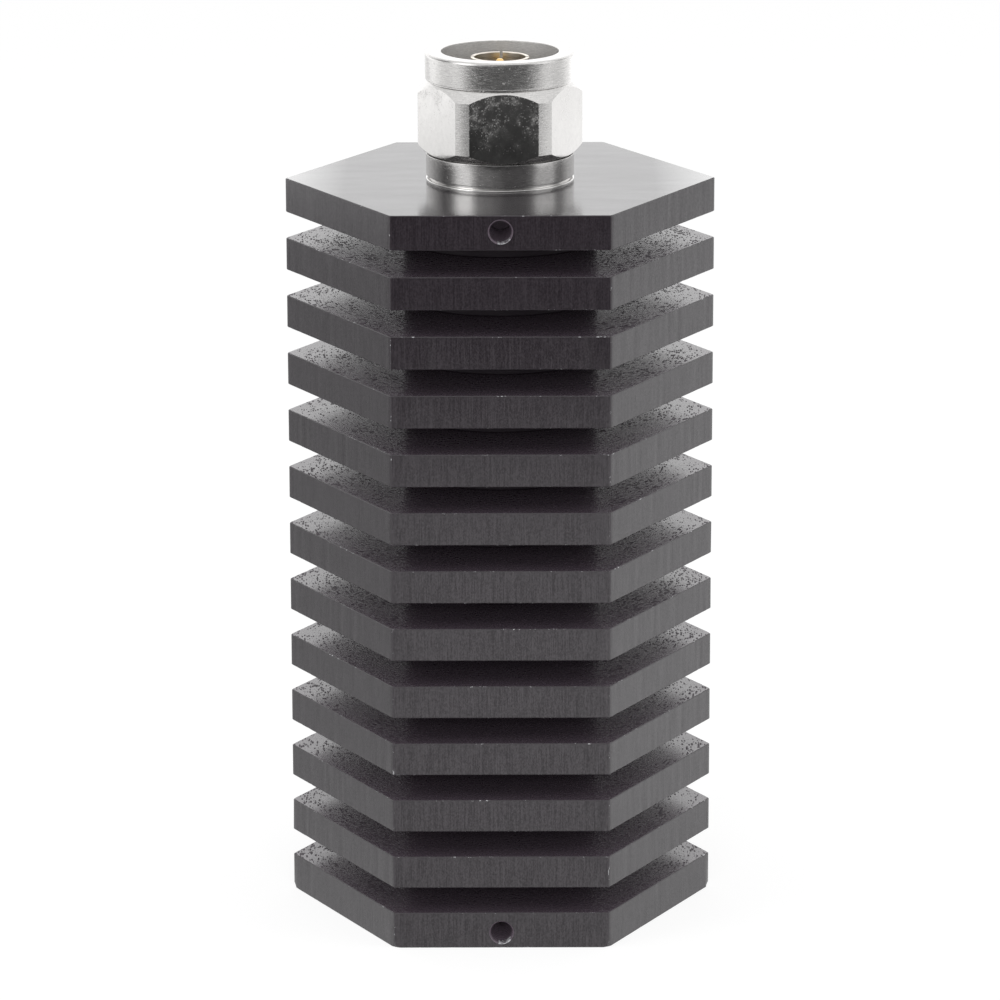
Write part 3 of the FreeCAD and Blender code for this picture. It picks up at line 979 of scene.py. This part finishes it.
def ramp(tree, value, stops, low, high):
    """Piecewise line through the stops, over a value that runs from low to high.

    The places are set before the levels, because the ramp sorts its elements by place.
    """
    line = tree.nodes.new("ShaderNodeValToRGB")
    tree.links.new(between(tree, value, low, high), line.inputs[0])
    for _ in range(len(stops) - 2):
        line.color_ramp.elements.new(0.5)
    for element, (place, _) in zip(line.color_ramp.elements, stops):
        element.position = (place - low) / (high - low)
    for element, (_, level) in zip(line.color_ramp.elements, stops):
        element.color = opaque((level, level, level), 1 / BRIGHTEST)
    return maths(tree, "MULTIPLY", line.outputs[0], BRIGHTEST)


def studio_world(settings):
    """White for the camera, soft boxes round a dim front for gloss, and an even glow for matt."""
    world = bpy.data.worlds.new("studio")
    world.use_nodes = True
    tree = world.node_tree
    tree.nodes.clear()
    rays = node(tree, "ShaderNodeLightPath")
    heading = node(tree, "ShaderNodeTexCoord").outputs["Generated"]
    parts = node(tree, "ShaderNodeSeparateXYZ", {"Vector": heading})
    toward = maths(tree, "MULTIPLY", parts.outputs["Y"], -1.0)
    azimuth = maths(tree, "ARCTAN2", parts.outputs["X"], toward)
    degrees = maths(tree, "MULTIPLY", azimuth, 180.0 / math.pi)
    boxes = ramp(tree, degrees, SURROUNDINGS, -180.0, 180.0)
    glossy = blend(tree, between(tree, parts.outputs["Z"], 0.42, 0.66), boxes, settings.overhead_glow)
    mirror = blend(tree, rays.outputs["Is Glossy Ray"], settings.ambient, glossy)
    seen = maths(tree, "MAXIMUM", rays.outputs["Is Camera Ray"], rays.outputs["Is Transmission Ray"])
    background = node(tree, "ShaderNodeBackground", {
        "Color": opaque(WHITE), "Strength": blend(tree, seen, mirror, 1.0)})
    node(tree, "ShaderNodeOutputWorld", {"Surface": background.outputs[0]})
    bpy.context.scene.world = world


def floor_material(settings):
    """Pale floor: white but for a faint shadow to the camera, a pool of light to gloss, else matt."""
    made = bpy.data.materials.new("pale_floor")
    made.use_nodes = True
    tree = made.node_tree
    tree.nodes.clear()
    rays = node(tree, "ShaderNodeLightPath")
    _, parts = whereabouts(tree)
    aside = maths(tree, "MAXIMUM", maths(tree, "MULTIPLY", parts["X"], -settings.pool_curve), 0.0)
    pool = ramp(tree, maths(tree, "ADD", parts["Y"], aside), TABLE_GLOW, -0.80, 0.70)
    pool = maths(tree, "MULTIPLY", pool, ramp(tree, parts["X"], TABLE_SIDES, -0.80, 0.80))
    matt_floor = node(tree, "ShaderNodeBsdfDiffuse", {"Color": opaque(WHITE, 0.8)})
    faint = node(tree, "ShaderNodeBsdfDiffuse", {"Color": opaque(WHITE, 0.25)})
    white = node(tree, "ShaderNodeEmission", {"Color": opaque(WHITE), "Strength": settings.floor_white})
    shown = node(tree, "ShaderNodeAddShader", {0: faint.outputs[0], 1: white.outputs[0]})
    glow = node(tree, "ShaderNodeEmission", {"Color": opaque(WHITE), "Strength": pool})
    to_camera = node(tree, "ShaderNodeMixShader", {
        0: rays.outputs["Is Camera Ray"], 1: matt_floor.outputs[0], 2: shown.outputs[0]})
    both = node(tree, "ShaderNodeMixShader", {
        0: rays.outputs["Is Glossy Ray"], 1: to_camera.outputs[0], 2: glow.outputs[0]})
    node(tree, "ShaderNodeOutputMaterial", {"Surface": both.outputs[0]})
    return made


class DUMMY_OT_studio(bpy.types.Operator):
    """Set up the floor, the soft boxes, the world and the camera"""
    bl_idname = "dummy.studio"
    bl_label = "Studio"

    def execute(self, context):
        scene = context.scene
        settings = scene.dummy_studio
        lay_table(settings)
        middle = (0.0, 0.0, 0.1)
        soft_box("left_box", around(-60, 0.85, 0.34), middle, 0.34, 0.6, settings.left_glow)
        soft_box("right_box", around(73, 0.85, 0.34), middle, 0.42, 0.6, settings.right_glow)
        soft_box("top_box", (0.0, 0.1, 1.3), middle, 0.9, 0.9, settings.top_glow)
        soft_box("fill_box", (0.0, -1.15, 0.3), middle, 0.8, 0.5, settings.fill)
        studio_world(settings)
        place_camera(settings)
        scene.view_settings.view_transform = "Standard"
        return {"FINISHED"}


def lay_table(settings):
    """Flat table that reaches past the camera's view on every side."""
    bm = bmesh.new()
    half, front, back = 1.8, -1.0, 1.9
    middle = Matrix.Translation((0, (front + back) / 2, 0))
    size = Matrix.Diagonal((half, (back - front) / 2, 1, 1))
    bmesh.ops.create_grid(bm, x_segments=1, y_segments=1, size=1.0, matrix=middle @ size)
    table = in_scene("table", bm)
    table.data.materials.append(floor_material(settings))


def place_camera(settings):
    """Camera at the photograph's viewing angle."""
    data = bpy.data.cameras.new("camera")
    data.lens = settings.lens
    data.sensor_width = 36.0
    data.clip_start, data.clip_end = 0.01, 20.0
    camera = bpy.data.objects.new("camera", data)
    ahead = Vector((
        math.sin(settings.yaw) * math.cos(settings.pitch),
        math.cos(settings.yaw) * math.cos(settings.pitch), -math.sin(settings.pitch)))
    level = Vector((math.cos(settings.yaw), -math.sin(settings.yaw), 0.0))
    upward = level.cross(ahead)
    cosine, sine = math.cos(settings.roll), math.sin(settings.roll)
    right = cosine * level + sine * upward
    up = -sine * level + cosine * upward
    turn = Matrix((right, up, -ahead)).transposed()
    camera.matrix_world = Matrix.Translation(settings.place) @ turn.to_4x4()
    bpy.context.scene.collection.objects.link(camera)
    bpy.context.scene.camera = camera


OPERATORS = [DUMMY_OT_heat_sink, DUMMY_OT_plug_body, DUMMY_OT_nut, DUMMY_OT_contacts,
             DUMMY_OT_inner_pieces, DUMMY_OT_studio]
GROUPS = {
    "dummy_heat_sink": HeatSinkSizes, "dummy_plug": PlugSizes, "dummy_nut": NutSizes,
    "dummy_finishes": Finishes, "dummy_studio": Studio}


class DUMMY_PT_panel(bpy.types.Panel):
    """Sidebar panel with the operators and the sizes they read"""
    bl_idname = "DUMMY_PT_panel"
    bl_label = "Dummy load"
    bl_space_type = "VIEW_3D"
    bl_region_type = "UI"
    bl_category = "Dummy load"

    def draw(self, context):
        for operator in OPERATORS:
            self.layout.operator(operator.bl_idname)
        for name, group in GROUPS.items():
            box = self.layout.box()
            for key in group.__annotations__:
                box.prop(getattr(context.scene, name), key)


def register():
    for made in [*GROUPS.values(), *OPERATORS, DUMMY_PT_panel]:
        bpy.utils.register_class(made)
    for name, group in GROUPS.items():
        setattr(bpy.types.Scene, name, PointerProperty(type=group))


def unregister():
    for name in GROUPS:
        delattr(bpy.types.Scene, name)
    for made in reversed([*GROUPS.values(), *OPERATORS, DUMMY_PT_panel]):
        bpy.utils.unregister_class(made)


def main():
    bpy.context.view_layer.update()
    register()
    bpy.ops.dummy.heat_sink()
    bpy.ops.dummy.plug_body()
    bpy.ops.dummy.nut()
    bpy.ops.dummy.contacts()
    bpy.ops.dummy.inner_pieces()
    bpy.ops.dummy.studio()


if __name__ == "__main__":
    main()
